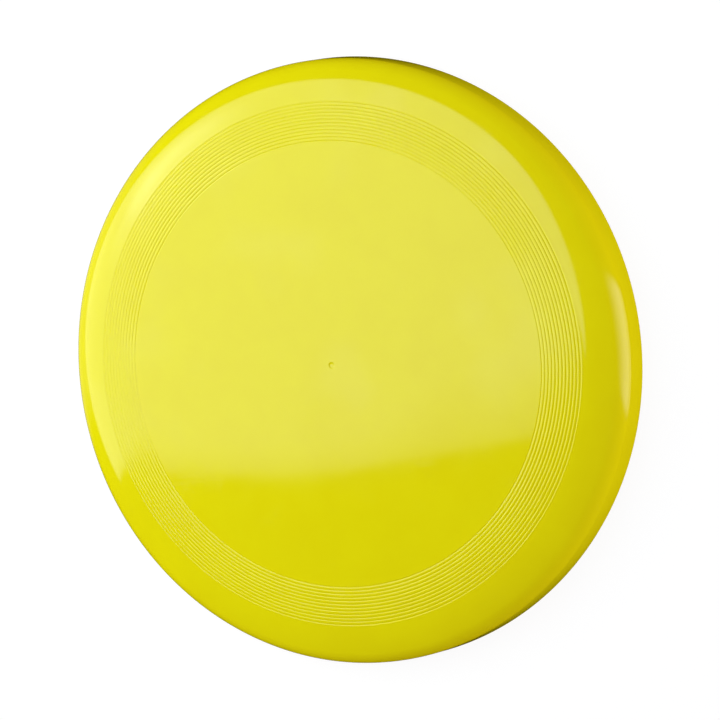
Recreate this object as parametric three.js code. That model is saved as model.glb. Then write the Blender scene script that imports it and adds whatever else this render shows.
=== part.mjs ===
// A one-piece flying disc, injection-moulded in glossy plastic, in millimetres with +Z up.
//
// The disc is a body of revolution. Its outer surface runs from the centre of the flight plate
// over a band of fine concentric flight rings, down a shallow shoulder and round a tighter edge
// into a short rim wall, which flares a little so that the moulding can leave its tool. The inner
// surface lies one wall thickness inside it, and the rim ends below in a thicker rounded lip.
//
// The origin is the centre of the plane that the lip stands on. The flight plate is on top.

import * as THREE from "three";

// Overall size
const OUTER_RADIUS = 106;
const OVERALL_HEIGHT = 21.6;

// Outer surface: each stretch is an arc that carries on from the one before it.
// A slope is in degrees below level.
const PLATE_RADIUS = 77; // the plate ends and the flight rings begin
const PLATE_RISE = 1.2; // how far the plate's middle stands above its edge
const BAND_END_SLOPE = 9; // where the flight rings end
const SHOULDER_RADIUS = 38;
const SHOULDER_END_SLOPE = 24; // where the tighter edge begins
const WALL_SLOPE = 87; // the rim wall has 3 degrees of draft

// Flight rings: level-topped rings, each with a fine V-groove on its inner side
const RING_COUNT = 12;
const RING_PITCH = 1.22;
const GROOVE_WIDTH = 0.7;
const GROOVE_DEPTH = 0.28;

// Mark of the moulding gate in the middle of the plate: a small shallow dimple
const GATE_RADIUS = 1.2;
const GATE_FLOOR_RADIUS = 0.7;
const GATE_DEPTH = 0.2;

// Walls
const PLATE_THICKNESS = 1.5;
const WALL_THICKNESS = 1.8;
const LIP_WIDTH = 2.8; // across the foot of the rim
const LIP_HEIGHT = 2.6; // straight inner side of the lip
const LIP_SLOPE_HEIGHT = 1.4; // from the lip up to the rim's inner wall
const LIP_ROUNDING = 0.8; // radius of both lower corners

// Fineness of the mesh
const TURN_SEGMENTS = 72;
const SHOULDER_STEPS = 5;
const EDGE_STEPS = 9;
const ROUNDING_STEPS = 3;

const radians = THREE.MathUtils.degToRad;
const last = (points) => points[points.length - 1];

// Points along a convex arc that starts at `from` and falls to the slope `endSlope`, in radians.
// Each point has its radius r, its height z and its slope, in radians below level.
function fallingArc(from, arcRadius, endSlope, steps) {
  const points = [];
  for (let step = 1; step <= steps; step += 1) {
    const slope = from.slope + ((endSlope - from.slope) * step) / steps;
    points.push({
      r: from.r + arcRadius * (Math.sin(slope) - Math.sin(from.slope)),
      z: from.z - arcRadius * (Math.cos(from.slope) - Math.cos(slope)),
      slope,
    });
  }
  return points;
}

// The point that lies `depth` below a surface point, square to the surface.
function below(point, depth) {
  return {
    r: point.r - depth * Math.sin(point.slope),
    z: point.z - depth * Math.cos(point.slope),
    slope: point.slope,
  };
}

// The plate is a shallow dome.
const plateArcRadius = (PLATE_RADIUS ** 2 + PLATE_RISE ** 2) / (2 * PLATE_RISE);
const plateEdge = {
  r: PLATE_RADIUS,
  z: OVERALL_HEIGHT - PLATE_RISE,
  slope: Math.asin(PLATE_RADIUS / plateArcRadius),
};

// The band is an arc from the plate's edge, and the flight rings are cut into it.
const bandWidth = RING_COUNT * RING_PITCH;
const bandArcRadius =
  bandWidth / (Math.sin(radians(BAND_END_SLOPE)) - Math.sin(plateEdge.slope));

// The point of the band that lies `across` outside the plate's edge, measured level.
function bandPoint(across) {
  const slope = Math.asin(Math.sin(plateEdge.slope) + across / bandArcRadius);
  return {
    r: plateEdge.r + across,
    z: plateEdge.z - bandArcRadius * (Math.cos(plateEdge.slope) - Math.cos(slope)),
    slope,
  };
}

const bandEnd = bandPoint(bandWidth);

const shoulderEndSlope = radians(SHOULDER_END_SLOPE);
const shoulder = fallingArc(bandEnd, SHOULDER_RADIUS, shoulderEndSlope, SHOULDER_STEPS);

// The edge arc has the radius that lets the flared wall reach the outer radius at the lip.
const wallSlope = radians(WALL_SLOPE);
const flare = 1 / Math.tan(wallSlope); // widening for each millimetre down the wall
const edgeAcross = Math.sin(wallSlope) - Math.sin(shoulderEndSlope);
const edgeDown = Math.cos(shoulderEndSlope) - Math.cos(wallSlope);
const edgeRadius =
  (OUTER_RADIUS - last(shoulder).r - (last(shoulder).z - LIP_ROUNDING) * flare) /
  (edgeAcross - edgeDown * flare);
const edge = fallingArc(last(shoulder), edgeRadius, wallSlope, EDGE_STEPS);

// The grooves and the ring tops between them, from the plate's edge to the end of the band.
function ringedBand() {
  const points = [];
  for (let ring = 0; ring < RING_COUNT; ring += 1) {
    const start = ring * RING_PITCH;
    points.push(bandPoint(start));
    points.push(below(bandPoint(start + GROOVE_WIDTH / 2), GROOVE_DEPTH));
    points.push(bandPoint(start + GROOVE_WIDTH));
  }
  points.push(bandEnd);
  return points;
}

// A quarter circle from one angle to another, in degrees, about a centre at the lip's foot.
function lipCorner(centreRadius, startAngle, endAngle) {
  const points = [];
  for (let step = 0; step <= ROUNDING_STEPS; step += 1) {
    const angle = radians(startAngle + ((endAngle - startAngle) * step) / ROUNDING_STEPS);
    points.push({
      r: centreRadius + LIP_ROUNDING * Math.cos(angle),
      z: LIP_ROUNDING + LIP_ROUNDING * Math.sin(angle),
    });
  }
  return points;
}

// From the axis over the plate, the rings and the shoulder to the top of the rim wall.
function outerPoints() {
  return [
    { r: 0, z: OVERALL_HEIGHT - GATE_DEPTH },
    { r: GATE_FLOOR_RADIUS, z: OVERALL_HEIGHT - GATE_DEPTH },
    { r: GATE_RADIUS, z: OVERALL_HEIGHT },
    ...ringedBand(),
    ...shoulder,
    ...edge,
  ];
}

// Round the foot of the rim and up the thicker lip to the inner wall.
function lipPoints() {
  const lipInside = OUTER_RADIUS - LIP_WIDTH;
  const slopeTop = LIP_HEIGHT + LIP_SLOPE_HEIGHT;
  const wallTop = below(last(edge), WALL_THICKNESS);
  return [
    ...lipCorner(OUTER_RADIUS - LIP_ROUNDING, 0, -90),
    ...lipCorner(lipInside + LIP_ROUNDING, -90, -180),
    { r: lipInside, z: LIP_HEIGHT },
    { r: wallTop.r + (wallTop.z - slopeTop) * flare, z: slopeTop },
  ];
}

// From the top of the inner wall back to the axis. The wall thins to the plate's thickness
// across the shoulder.
function innerPoints() {
  const rim = edge.map((point) => below(point, WALL_THICKNESS));
  const underShoulder = shoulder.map((point, index) => {
    const share = (index + 1) / SHOULDER_STEPS;
    return below(point, PLATE_THICKNESS + (WALL_THICKNESS - PLATE_THICKNESS) * share);
  });
  const underBand = [plateEdge, bandPoint(bandWidth / 2), bandEnd];
  return [
    ...rim.reverse(),
    ...underShoulder.reverse(),
    ...underBand.map((point) => below(point, PLATE_THICKNESS)).reverse(),
    { r: 0, z: OVERALL_HEIGHT - PLATE_THICKNESS },
  ];
}

function discGeometry() {
  const outline = [...outerPoints(), ...lipPoints(), ...innerPoints()];
  const profile = outline.reverse().map((point) => new THREE.Vector2(point.r, point.z));
  const geometry = new THREE.LatheGeometry(profile, TURN_SEGMENTS);
  geometry.rotateX(Math.PI / 2);
  return geometry;
}

const glossyYellow = new THREE.MeshStandardMaterial({
  color: 0xe6da0c,
  roughness: 0.12,
  metalness: 0,
});

const disc = new THREE.Mesh(discGeometry(), glossyYellow);
disc.name = "disc";

const flyingDisc = new THREE.Group();
flyingDisc.add(disc);

export default flyingDisc;
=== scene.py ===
"""The looks of a one-piece flying disc in glossy moulded plastic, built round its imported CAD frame.

The disc is one moulding: a surface of revolution about +Z with a smooth domed flight plate, a band of
fine concentric flight rings, a shoulder, a tight edge, a short rim wall and a rounded lip. The mesh
here follows the CAD outline with a finer skin. The outline is in millimetres, and everything else,
the finished mesh included, is in metres unless its comment says otherwise.
"""

import math

import bpy
import numpy as np
from mathutils import Matrix, Vector


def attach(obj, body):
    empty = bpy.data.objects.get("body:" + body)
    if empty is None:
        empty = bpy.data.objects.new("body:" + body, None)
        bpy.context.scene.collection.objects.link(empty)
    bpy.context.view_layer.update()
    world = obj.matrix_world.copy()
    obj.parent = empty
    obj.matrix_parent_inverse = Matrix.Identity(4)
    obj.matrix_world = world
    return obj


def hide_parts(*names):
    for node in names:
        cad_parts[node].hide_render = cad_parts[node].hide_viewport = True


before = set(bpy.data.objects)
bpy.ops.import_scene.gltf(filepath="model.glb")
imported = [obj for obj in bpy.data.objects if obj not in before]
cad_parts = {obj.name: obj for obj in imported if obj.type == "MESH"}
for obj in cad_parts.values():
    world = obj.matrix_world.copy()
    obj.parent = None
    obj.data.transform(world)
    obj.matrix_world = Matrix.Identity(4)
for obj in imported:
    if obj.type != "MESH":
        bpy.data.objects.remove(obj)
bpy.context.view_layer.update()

MM = 0.001  # one millimetre in metres

# Overall size, in millimetres
OUTER_RADIUS = 106.0
OVERALL_HEIGHT = 21.6

# Outer surface, in millimetres: arcs that carry on from one another. A slope is in degrees below
# level.
PLATE_RADIUS = 77.0
PLATE_RISE = 1.2
BAND_END_SLOPE = 9.0
SHOULDER_RADIUS = 38.0
SHOULDER_END_SLOPE = 24.0
WALL_SLOPE = 87.0

# Flight rings, in millimetres: low-crowned rings, each with a fine rounded groove on its inner side
RING_COUNT = 12
RING_PITCH = 1.22
BAND_WIDTH = RING_COUNT * RING_PITCH
GROOVE_WIDTH = 0.7
GROOVE_DEPTH = 0.1
RING_CROWN = 0.015
GROOVE_SHARPNESS = 0.8  # 0 for a sharp V, 1 for a cosine wave

# Mark of the moulding gate in the middle of the plate, in millimetres
GATE_RADIUS = 1.2
GATE_FLOOR_RADIUS = 0.7
GATE_DEPTH = 0.2

# Walls, in millimetres
PLATE_THICKNESS = 1.5
WALL_THICKNESS = 1.8
LIP_WIDTH = 2.8  # across the foot of the rim
LIP_HEIGHT = 2.6  # straight inner side of the lip
LIP_SLOPE_HEIGHT = 1.4  # from the lip up to the rim's inner wall
LIP_ROUNDING = 0.8  # radius of both lower corners

# Fineness of the mesh
TURN_STEPS = 360
GATE_STEPS = 6
PLATE_RADII = (1.3, 2.0, 4.0, 8.0, 16.0, 28.0, 42.0, 56.0, 68.0, 75.0)  # in millimetres
PLATE_EDGE_INSET = 0.06  # in millimetres: a last narrow ring of faces keeps the plate's edge crisp
GROOVE_SHARES = (0.0, 0.1, 0.25, 0.42, 0.5, 0.58, 0.75, 0.9, 1.0)  # of a groove's width
CROWN_SHARES = (0.2, 0.5, 0.8)  # of the width between two grooves
SHOULDER_STEPS = 12
EDGE_STEPS = 24
ROUNDING_STEPS = 6
LIP_SLOPE_STEPS = 5
UNDER_BAND_STEPS = 5
GROOVE_SAMPLES = 401  # for adding up a groove's flanks

# Plastic: colours, and the sizes, heights and strengths of what varies across it
DEEP_YELLOW = (0.825, 0.733, 0.004)
PALE_YELLOW = (0.84, 0.758, 0.004)
CLOUD_SIZE = 28 * MM
MOTTLE_SIZE = 9 * MM
CLOUD_SHARE = 0.6  # of the tint; the mottle is the rest
GLOSS_PATCH_SIZE = 34 * MM
SPECULAR_LEVELS = (0.49, 0.6)
ROUGHNESSES = (0.04, 0.065)
UNDERSIDE_ROUGHNESS = 0.12  # on top of the rest
RIPPLE_SIZE = 24 * MM
RIPPLE_HEIGHT = 0.012 * MM
PEEL_SIZE = 1.6 * MM
PEEL_HEIGHT = 0.0004 * MM
SCUFF_TURNS = (0.4, 1.5, 2.6)  # directions in radians
SCUFF_SPACING = 0.9 * MM
SCUFF_STRETCH = 60.0
SCUFF_RUN = 20 * MM
SCUFF_ROUGHNESS = 0.1  # on top of the rest
SCUFF_DEPTH = 0.001 * MM

# Stage: its unit is the outline's radius on the plane of the plate's edge, and AIM is the middle of
# that plane
UNIT = 0.1052
AIM = Vector((0, 0, (OVERALL_HEIGHT - PLATE_RISE) * MM))

# Camera
CAMERA_ELEVATION = math.radians(64.78)
CAMERA_ROLL = math.radians(11.96)
CAMERA_UNITS_AWAY = 11.0
CAMERA_DISTANCE = CAMERA_UNITS_AWAY * UNIT
CAMERA_SHIFT = (-0.0887 * UNIT, -0.0172 * UNIT)  # of AIM, to the right of the middle and above it
LENS = 15.25 * CAMERA_UNITS_AWAY  # focal length in millimetres

# Floor and backdrop
FLOOR_SIZE = 30.0
FLOOR_FADE = (0.3, 0.66)  # the near floor turns into the far one between these radii
FLOOR_NEAR_WHITE = (0.12, 0.12, 0.12)
FLOOR_NEAR_GLOW = (0.905, 0.905, 0.935)
FLOOR_FAR_GLOW = (1.0, 1.0, 1.0)
BACKDROP_COLOUR = (1.0, 1.0, 1.0)
BACKDROP_STRENGTH = 1.0

# Surround: its strength falls from below the horizon to well above it, and tilts toward one corner
SURROUND_COLOUR = (1.0, 0.88, 0.5)
SURROUND_HEIGHTS = (-0.15, 0.3)
SURROUND_STRENGTHS = (0.85, 0.385)
SURROUND_TILT = 0.04

# Panels: distances and sizes in units
PANEL_DISTANCE = 7.0
KEY_COLOUR = (0.97, 1.11, 0.98)
KEY_STRENGTH = 1.94
KEY_SPOT_PLACE = (-2.1, 1.47)
KEY_SPOT_RADIUS = 2.1
KEY_SPOT_GAIN = 2.25  # over the rest of the key light


# ---------------------------------------------------------------- outline


def falling_arc(start, radius, end_slope, steps):
    """Points (r, z, slope) on a convex arc from start down to end_slope, start left out."""
    r0, z0, slope0 = start
    slopes = slope0 + (end_slope - slope0) * np.arange(1, steps + 1) / steps
    r = r0 + radius * (np.sin(slopes) - math.sin(slope0))
    z = z0 - radius * (math.cos(slope0) - np.cos(slopes))
    return np.column_stack([r, z, slopes])


def below(points, depth):
    """The points moved into the wall, square to the surface, by depth."""
    moved = np.array(points, float)
    moved[:, 0] -= depth * np.sin(points[:, 2])
    moved[:, 1] -= depth * np.cos(points[:, 2])
    return moved


def plate_points():
    """From the gate mark to the plate's edge, on the plate's shallow dome."""
    dome = (PLATE_RADIUS**2 + PLATE_RISE**2) / (2 * PLATE_RISE)
    r = np.array([*PLATE_RADII, PLATE_RADIUS - PLATE_EDGE_INSET, PLATE_RADIUS])
    z = OVERALL_HEIGHT - dome + np.sqrt(dome**2 - r**2)
    return np.column_stack([r, z, np.arcsin(r / dome)])


def gate_points():
    """The shallow dimple at the centre, with softened corners."""
    slope_width = GATE_RADIUS - GATE_FLOOR_RADIUS
    shares = np.linspace(0, 1, GATE_STEPS + 1)
    r = GATE_FLOOR_RADIUS + slope_width * shares
    z = OVERALL_HEIGHT - GATE_DEPTH * (0.5 + 0.5 * np.cos(math.pi * shares))
    flat = np.zeros(len(r))
    return np.column_stack([r, z, flat])


def band_points(across):
    """Points of the band before the rings are cut, by their level distance outside the plate's edge."""
    plate_edge = plate_points()[-1]
    radius = BAND_WIDTH / (math.sin(math.radians(BAND_END_SLOPE)) - math.sin(plate_edge[2]))
    across = np.asarray(across, float)
    slopes = np.arcsin(math.sin(plate_edge[2]) + across / radius)
    z = plate_edge[1] - radius * (math.cos(plate_edge[2]) - np.cos(slopes))
    return np.column_stack([plate_edge[0] + across, z, slopes])


def groove_depths(shares):
    """How deep the groove is at shares of its width: steep flanks, rounded bottom and lips."""
    fine = np.linspace(0, 1, GROOVE_SAMPLES)
    wave = np.sin(2 * math.pi * fine)
    steepness = np.sign(wave) * np.abs(wave) ** GROOVE_SHARPNESS
    depth = np.cumsum(steepness)
    return GROOVE_DEPTH * np.interp(shares, fine, depth / depth.max())


def ringed_band():
    """The band with its rings, up to the point where the shoulder takes over."""
    shares = np.array(GROOVE_SHARES)
    tops = np.array(CROWN_SHARES)
    across = np.concatenate([
        GROOVE_WIDTH * shares,
        GROOVE_WIDTH + (RING_PITCH - GROOVE_WIDTH) * tops,
    ])
    depths = np.concatenate([groove_depths(shares), -4 * RING_CROWN * tops * (1 - tops)])
    rings = [below(band_points(across + ring * RING_PITCH), depths) for ring in range(RING_COUNT)]
    return np.vstack(rings + [band_points([BAND_WIDTH])])


def shoulder_and_edge():
    """The shoulder arc, and the edge arc that lets the flared wall reach the outer radius."""
    start = band_points([BAND_WIDTH])[0]
    shoulder_end = math.radians(SHOULDER_END_SLOPE)
    shoulder = falling_arc(start, SHOULDER_RADIUS, shoulder_end, SHOULDER_STEPS)

    wall = math.radians(WALL_SLOPE)
    flare = 1 / math.tan(wall)
    across = math.sin(wall) - math.sin(shoulder_end)
    down = math.cos(shoulder_end) - math.cos(wall)
    still_to_go = OUTER_RADIUS - shoulder[-1, 0] - (shoulder[-1, 1] - LIP_ROUNDING) * flare
    edge_radius = still_to_go / (across - down * flare)
    edge = falling_arc(shoulder[-1], edge_radius, wall, EDGE_STEPS)
    return shoulder, edge


def corner(centre_radius, start, end):
    """A quarter round at the foot of the rim, from one angle to another in degrees."""
    angles = np.radians(np.linspace(start, end, ROUNDING_STEPS + 1))
    r = centre_radius + LIP_ROUNDING * np.cos(angles)
    z = LIP_ROUNDING + LIP_ROUNDING * np.sin(angles)
    return np.column_stack([r, z])


def lip_points(wall_top):
    """Round the foot of the rim and up the thicker lip to the inner wall."""
    inside = OUTER_RADIUS - LIP_WIDTH
    slope_top = LIP_HEIGHT + LIP_SLOPE_HEIGHT
    flare = 1 / math.tan(math.radians(WALL_SLOPE))
    shares = np.linspace(0, 1, LIP_SLOPE_STEPS + 1)
    eased = shares * shares * (3 - 2 * shares)
    r_top = wall_top[0] + (wall_top[1] - slope_top) * flare
    slope = np.column_stack([
        inside + (r_top - inside) * eased,
        LIP_HEIGHT + LIP_SLOPE_HEIGHT * shares,
    ])
    return np.vstack([
        corner(OUTER_RADIUS - LIP_ROUNDING, 0, -90),
        corner(inside + LIP_ROUNDING, -90, -180),
        slope,
    ])


def inner_points(shoulder, edge):
    """From the top of the inner wall back to the axis; the wall thins across the shoulder."""
    rim = below(edge, WALL_THICKNESS)
    shares = np.arange(1, len(shoulder) + 1) / len(shoulder)
    depths = PLATE_THICKNESS + (WALL_THICKNESS - PLATE_THICKNESS) * shares
    under_shoulder = below(shoulder, depths)
    band = band_points(np.linspace(0, BAND_WIDTH, UNDER_BAND_STEPS + 1))
    under_band = below(band, PLATE_THICKNESS)
    under_plate = below(plate_points()[3:-2], PLATE_THICKNESS)
    inner = np.vstack([under_plate, under_band, under_shoulder, rim])
    return inner[::-1, :2]


def outline():
    """The whole closed outline (r, z), from the top of the axis round to its underside."""
    shoulder, edge = shoulder_and_edge()
    wall_top = below(edge[-1:], WALL_THICKNESS)[0]
    return np.vstack([
        gate_points()[:, :2],
        plate_points()[:-1, :2],
        ringed_band()[:, :2],
        shoulder[:, :2],
        edge[:, :2],
        lip_points(wall_top),
        inner_points(shoulder, edge),
    ])


# ---------------------------------------------------------------- mesh


def turned_mesh(name, points):
    """A closed surface of revolution about Z from an outline that starts and ends on the axis."""
    angles = 2 * math.pi * np.arange(TURN_STEPS) / TURN_STEPS
    around = np.column_stack([np.cos(angles), np.sin(angles)])
    rings = points[:, None, :1] * around[None, :, :]
    heights = np.repeat(points[:, 1:], TURN_STEPS, axis=1)[..., None]
    vertices = np.concatenate([rings, heights], axis=2).reshape(-1, 3)
    first_centre = len(vertices)
    last_centre = first_centre + 1
    vertices = np.vstack([vertices, [0, 0, points[0, 1]], [0, 0, points[-1, 1]]]) * MM

    faces = []
    last_row = (len(points) - 1) * TURN_STEPS
    for row in range(0, last_row, TURN_STEPS):
        for step in range(TURN_STEPS):
            here = row + step
            beside = row + (step + 1) % TURN_STEPS
            faces.append((here, here + TURN_STEPS, beside + TURN_STEPS, beside))
    for step in range(TURN_STEPS):
        following = (step + 1) % TURN_STEPS
        faces.append((first_centre, step, following))
        faces.append((last_centre, last_row + following, last_row + step))

    mesh = bpy.data.meshes.new(name)
    mesh.from_pydata(vertices.tolist(), [], faces)
    mesh.validate()
    for polygon in mesh.polygons:
        polygon.use_smooth = True
    piece = bpy.data.objects.new(name, mesh)
    bpy.context.scene.collection.objects.link(piece)
    return piece


# ---------------------------------------------------------------- material


class Shade:
    """A number socket of a node tree, which combines with others by ordinary arithmetic."""

    def __init__(self, tree, socket):
        self.tree, self.socket = tree, socket

    def math(self, operation, *others):
        node = self.tree.nodes.new("ShaderNodeMath")
        node.operation = operation
        for slot, value in zip(node.inputs, (self, *others)):
            if isinstance(value, Shade):
                self.tree.links.new(value.socket, slot)
            else:
                slot.default_value = value
        return Shade(self.tree, node.outputs[0])

    def __add__(self, other):
        return self.math("ADD", other)

    def __sub__(self, other):
        return self.math("SUBTRACT", other)

    def __mul__(self, other):
        return self.math("MULTIPLY", other)

    def at_most(self, other):
        return self.math("MINIMUM", other)

    def size(self):
        return self.math("ABSOLUTE")

    def hypot(self, other):
        return (self * self + other * other).math("SQRT")

    def ramp(self, start, end, low=0.0, high=1.0, smooth=True):
        """low up to start, high from end on."""
        node = self.tree.nodes.new("ShaderNodeMapRange")
        node.interpolation_type = "SMOOTHSTEP" if smooth else "LINEAR"
        node.inputs["From Min"].default_value = start
        node.inputs["From Max"].default_value = end
        node.inputs["To Min"].default_value = low
        node.inputs["To Max"].default_value = high
        self.tree.links.new(self.socket, node.inputs["Value"])
        return Shade(self.tree, node.outputs["Result"])


def noise(tree, place, feature, detail, seed, stretch=1.0, turn=0.0):
    """Noise from 0 to 1 with features of the size given, which can be drawn out in one direction."""
    mapping = tree.nodes.new("ShaderNodeMapping")
    mapping.vector_type = "TEXTURE"
    mapping.inputs["Rotation"].default_value = (0, 0, turn)
    mapping.inputs["Scale"].default_value = (feature * stretch, feature, feature)
    tree.links.new(place, mapping.inputs["Vector"])
    texture = tree.nodes.new("ShaderNodeTexNoise")
    texture.noise_dimensions = "4D"
    texture.inputs["W"].default_value = seed
    texture.inputs["Scale"].default_value = 1.0
    texture.inputs["Detail"].default_value = detail
    tree.links.new(mapping.outputs["Vector"], texture.inputs["Vector"])
    return Shade(tree, texture.outputs["Fac"])


def blend(tree, share, start, end):
    """The colour that is start where the share is 0 and end where it is 1."""
    node = tree.nodes.new("ShaderNodeMix")
    node.data_type = "RGBA"
    node.inputs["A"].default_value = (*start, 1)
    node.inputs["B"].default_value = (*end, 1)
    tree.links.new(share.socket, node.inputs["Factor"])
    return node.outputs["Result"]


def scuffs(tree, place):
    """Hairline scuffs in three directions, each broken up into short runs."""
    total = None
    for index, turn in enumerate(SCUFF_TURNS):
        grain = noise(tree, place, SCUFF_SPACING, detail=1.0, seed=3.0 + index,
                      stretch=SCUFF_STRETCH, turn=turn)
        line = (grain - 0.5).size().ramp(0.0, 0.04, 1.0, 0.0)
        runs = noise(tree, place, SCUFF_RUN, detail=2.0, seed=7.0 + index).ramp(0.56, 0.66)
        total = line * runs if total is None else total + line * runs
    return total.at_most(1.0)


def plastic():
    """Glossy yellow plastic with slight changes of colour and gloss, ripples and hairline scuffs."""
    material = bpy.data.materials.new("yellow_plastic")
    material.use_nodes = True
    tree = material.node_tree
    shader = tree.nodes["Principled BSDF"]
    place = tree.nodes.new("ShaderNodeTexCoord").outputs["Object"]

    clouds = noise(tree, place, CLOUD_SIZE, detail=2.0, seed=1.0)
    mottle = noise(tree, place, MOTTLE_SIZE, detail=3.0, seed=2.0)
    lines = scuffs(tree, place)

    tint = (clouds * CLOUD_SHARE + mottle * (1 - CLOUD_SHARE)).ramp(0.35, 0.65)
    tree.links.new(blend(tree, tint, DEEP_YELLOW, PALE_YELLOW), shader.inputs["Base Color"])

    patches = noise(tree, place, GLOSS_PATCH_SIZE, detail=1.5, seed=5.0)
    gloss = patches.ramp(0.52, 0.68, *SPECULAR_LEVELS)
    tree.links.new(gloss.socket, shader.inputs["Specular IOR Level"])

    facing = tree.nodes.new("ShaderNodeSeparateXYZ")
    tree.links.new(tree.nodes.new("ShaderNodeNewGeometry").outputs["Normal"], facing.inputs[0])
    underside = Shade(tree, facing.outputs["Z"]).ramp(-0.3, -0.1, UNDERSIDE_ROUGHNESS, 0.0)
    roughness = mottle.ramp(0.3, 0.7, *ROUGHNESSES) + lines * SCUFF_ROUGHNESS + underside
    tree.links.new(roughness.socket, shader.inputs["Roughness"])

    ripples = noise(tree, place, RIPPLE_SIZE, detail=1.0, seed=11.0) * RIPPLE_HEIGHT
    peel = noise(tree, place, PEEL_SIZE, detail=1.0, seed=12.0) * PEEL_HEIGHT
    bump = tree.nodes.new("ShaderNodeBump")
    bump.inputs["Strength"].default_value = 1.0
    bump.inputs["Distance"].default_value = 1.0
    tree.links.new((ripples + peel - lines * SCUFF_DEPTH).socket, bump.inputs["Height"])
    tree.links.new(bump.outputs["Normal"], shader.inputs["Normal"])
    return material


# ---------------------------------------------------------------- stage


def camera_axes():
    """The camera's right, up and back. The disc's near side is at its right, but for the roll."""
    level, height = math.cos(CAMERA_ELEVATION), math.sin(CAMERA_ELEVATION)
    back = Vector((0, -level, height))
    near = Vector((0, -height, -level))
    side = back.cross(near)
    right = math.cos(CAMERA_ROLL) * near - math.sin(CAMERA_ROLL) * side
    up = math.sin(CAMERA_ROLL) * near + math.cos(CAMERA_ROLL) * side
    return right, up, back


def add_camera():
    """A camera that looks down on the disc from one side, with its picture turned."""
    right, up, back = camera_axes()
    data = bpy.data.cameras.new("camera")
    data.lens = LENS
    camera = bpy.data.objects.new("camera", data)
    bpy.context.scene.collection.objects.link(camera)
    shift_right, shift_up = CAMERA_SHIFT
    place = AIM - shift_right * right - shift_up * up + CAMERA_DISTANCE * back
    turn = Matrix((right, up, back)).transposed().to_4x4()
    camera.matrix_world = Matrix.Translation(place) @ turn
    bpy.context.scene.camera = camera


def floor_white():
    """White that glows by itself. It also takes light near the disc."""
    material = bpy.data.materials.new("floor")
    material.use_nodes = True
    material.cycles.emission_sampling = "NONE"
    tree = material.node_tree
    shader = tree.nodes["Principled BSDF"]
    shader.inputs["Roughness"].default_value = 1.0
    shader.inputs["Specular IOR Level"].default_value = 0.0
    shader.inputs["Emission Strength"].default_value = 1.0
    where = tree.nodes.new("ShaderNodeSeparateXYZ")
    tree.links.new(tree.nodes.new("ShaderNodeTexCoord").outputs["Object"], where.inputs[0])
    x, y = (Shade(tree, where.outputs[axis]) for axis in "XY")
    away = x.hypot(y).ramp(*FLOOR_FADE)
    white = blend(tree, away, FLOOR_NEAR_WHITE, (0, 0, 0))
    tree.links.new(white, shader.inputs["Base Color"])
    emission = blend(tree, away, FLOOR_NEAR_GLOW, FLOOR_FAR_GLOW)
    tree.links.new(emission, shader.inputs["Emission Color"])
    return material


def add_floor():
    """A wide floor that the gloss doesn't mirror and that shades nothing."""
    mesh = bpy.data.meshes.new("floor")
    half = FLOOR_SIZE / 2
    corners = [(-half, -half, 0), (half, -half, 0), (half, half, 0), (-half, half, 0)]
    mesh.from_pydata(corners, [], [(0, 1, 2, 3)])
    floor = bpy.data.objects.new("floor", mesh)
    bpy.context.scene.collection.objects.link(floor)
    mesh.materials.append(floor_white())
    floor.visible_glossy = False
    floor.visible_diffuse = False
    floor.visible_shadow = False


def add_world():
    """A white backdrop for the camera, and a soft warm surround that the gloss doesn't mirror."""
    world = bpy.data.worlds.new("studio")
    world.use_nodes = True
    world.cycles_visibility.glossy = False
    tree = world.node_tree
    direction = tree.nodes.new("ShaderNodeSeparateXYZ")
    tree.links.new(tree.nodes.new("ShaderNodeTexCoord").outputs["Generated"], direction.inputs[0])
    x, y, z = (Shade(tree, direction.outputs[axis]) for axis in "XYZ")
    strength = z.ramp(*SURROUND_HEIGHTS, *SURROUND_STRENGTHS) + (y - x) * SURROUND_TILT
    surround = tree.nodes["Background"]
    surround.inputs["Color"].default_value = (*SURROUND_COLOUR, 1)
    tree.links.new(strength.socket, surround.inputs["Strength"])
    backdrop = tree.nodes.new("ShaderNodeBackground")
    backdrop.inputs["Color"].default_value = (*BACKDROP_COLOUR, 1)
    backdrop.inputs["Strength"].default_value = BACKDROP_STRENGTH
    choice = tree.nodes.new("ShaderNodeMixShader")
    tree.links.new(tree.nodes.new("ShaderNodeLightPath").outputs["Is Camera Ray"], choice.inputs[0])
    tree.links.new(surround.outputs[0], choice.inputs[1])
    tree.links.new(backdrop.outputs[0], choice.inputs[2])
    tree.links.new(choice.outputs[0], tree.nodes["World Output"].inputs["Surface"])
    bpy.context.scene.world = world


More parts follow.
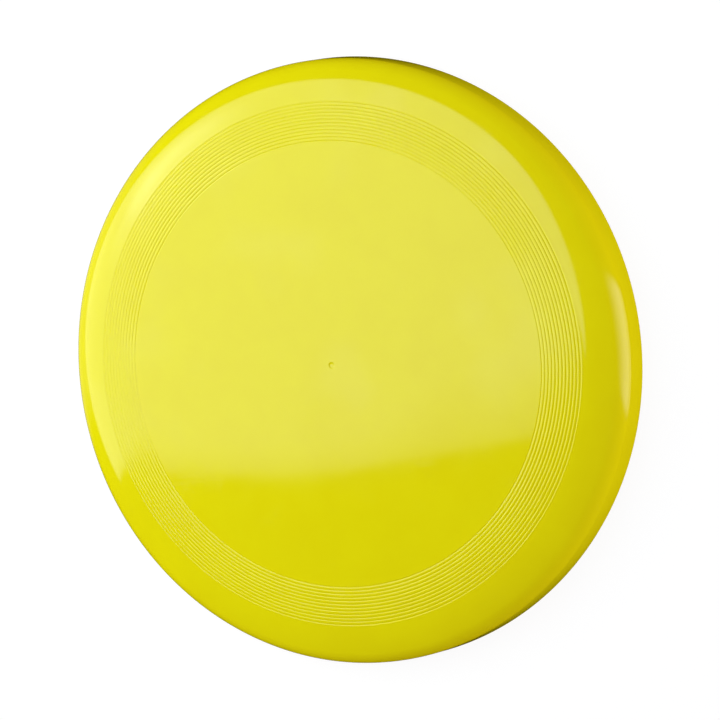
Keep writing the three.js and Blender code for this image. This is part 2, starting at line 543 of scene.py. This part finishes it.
def add_panel(name, azimuth, elevation, centre, width, height, roll=0.0):
    """A studio panel on a plane square to the direction given, and the plane's two coordinates.

    The direction is in degrees from the camera's axes, the plane is PANEL_DISTANCE units away, and
    centre, width and height are in units on it.
    """
    right, up, back = camera_axes()
    turned, raised = math.radians(azimuth), math.radians(elevation)
    level = math.sin(turned) * right + math.cos(turned) * back
    direction = math.cos(raised) * level + math.sin(raised) * up
    across = up.cross(direction).normalized()
    upward = direction.cross(across)
    place = AIM + UNIT * (PANEL_DISTANCE * direction + centre[0] * across + centre[1] * upward)
    data = bpy.data.lights.new(name, "AREA")
    data.shape = "RECTANGLE"
    data.size = width * UNIT
    data.size_y = height * UNIT
    data.energy = math.pi * data.size * data.size_y  # a radiance of 1 where the glow is 1
    light = bpy.data.objects.new(name, data)
    bpy.context.scene.collection.objects.link(light)
    turn = Matrix((across, upward, direction)).transposed().to_4x4()
    light.matrix_world = Matrix.Translation(place) @ turn @ Matrix.Rotation(roll, 4, "Z")

    data.use_nodes = True
    tree = data.node_tree
    where = tree.nodes.new("ShaderNodeNewGeometry")
    split = tree.nodes.new("ShaderNodeSeparateXYZ")
    tree.links.new(where.outputs["Parametric"], split.inputs[0])
    x = (Shade(tree, split.outputs[0]) - 0.5) * width
    y = (Shade(tree, split.outputs[1]) - 0.5) * height
    return data, x, y


def glow(data, strength):
    """Gives the panel the glow that the Shade describes across it."""
    data.node_tree.links.new(strength.socket, data.node_tree.nodes["Emission"].inputs["Strength"])


def add_key_light():
    """A large oval softbox with its lamp's bright spot off centre, cut off below by a bent flag."""
    half_width, half_height, feather, roll = 6.5, 3.66, 0.05, math.radians(15.6)
    reach = 2 * (1 + feather)
    centre = (0.14, 0.42)
    data, x, y = add_panel("key", -58, 5, centre, half_width * reach, half_height * reach, roll)
    height = y * (1 / half_height)
    oval = (x * (1 / half_width)).hypot(height - height.at_most(0.0) * 0.35)
    inside = oval.ramp(1 - feather, 1 + feather, 1.0, 0.0)

    # The flag and the spot are placed on the panel's plane without the panel's roll.
    level_x = x * math.cos(roll) - y * math.sin(roll) + centre[0]
    level_y = x * math.sin(roll) + y * math.cos(roll) + centre[1]
    left_bend = (level_x - 0.55).at_most(0.0) * 0.13
    far_left_bend = ((level_x + 1.0) * 0.5).at_most(0.0)
    right_bend = ((level_x - 1.1) * -0.08).at_most(0.0)
    above_flag = level_y + (left_bend - far_left_bend + right_bend) + 2.59
    steepness = level_x.ramp(0.9, 1.9, 4.5, 1.6)
    half_shadow = (above_flag * steepness).ramp(0.0, 1.0, 0.6, 1.0, smooth=False)
    uncovered = above_flag.ramp(-0.05, 0.04) * half_shadow

    spot_x, spot_y = KEY_SPOT_PLACE
    from_spot = (level_x - spot_x).hypot(level_y - spot_y)
    spot = from_spot.ramp(0.0, KEY_SPOT_RADIUS, KEY_SPOT_GAIN, 1.0)
    data.color = KEY_COLOUR
    glow(data, inside * uncovered * spot * KEY_STRENGTH)


def add_edge_light():
    """A strip softbox that lights the rim's near edge; it fades along its length."""
    left, length, height = -3.4, 16.0, 10.0
    centre = (left + length / 2, 0.3)
    data, x, y = add_panel("edge", 55, 0, centre, length, height)
    along = x + length / 2
    half_height = along * 0.1 + 1.5
    inside = (half_height - y.size()).ramp(-0.35, 0.35)
    rise = along.ramp(0.0, 6.0, 0.1, 2.2)
    fall = along.ramp(7.0, 12.0, 1.0, 0.36)
    glow(data, inside * rise * fall)


def add_far_light():
    """A dim panel beyond the disc that the far side of the rim mirrors; it fades upward."""
    data, x, y = add_panel("far", -122, 5, (0, 0), 9, 8)
    sides = x.size().ramp(2.8, 4.4, 1.0, 0.0)
    bottom = y.ramp(-2.5, -1.5)
    top = y.ramp(0.6, 3.8, 0.4, 0.06)
    glow(data, sides * bottom * top)


# ---------------------------------------------------------------- scene


disc = turned_mesh("disc_shell", outline())
disc.data.materials.append(plastic())
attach(disc, "root")
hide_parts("disc")

add_camera()
add_floor()
add_world()
add_key_light()
add_edge_light()
add_far_light()
bpy.context.scene.view_settings.view_transform = "Standard"
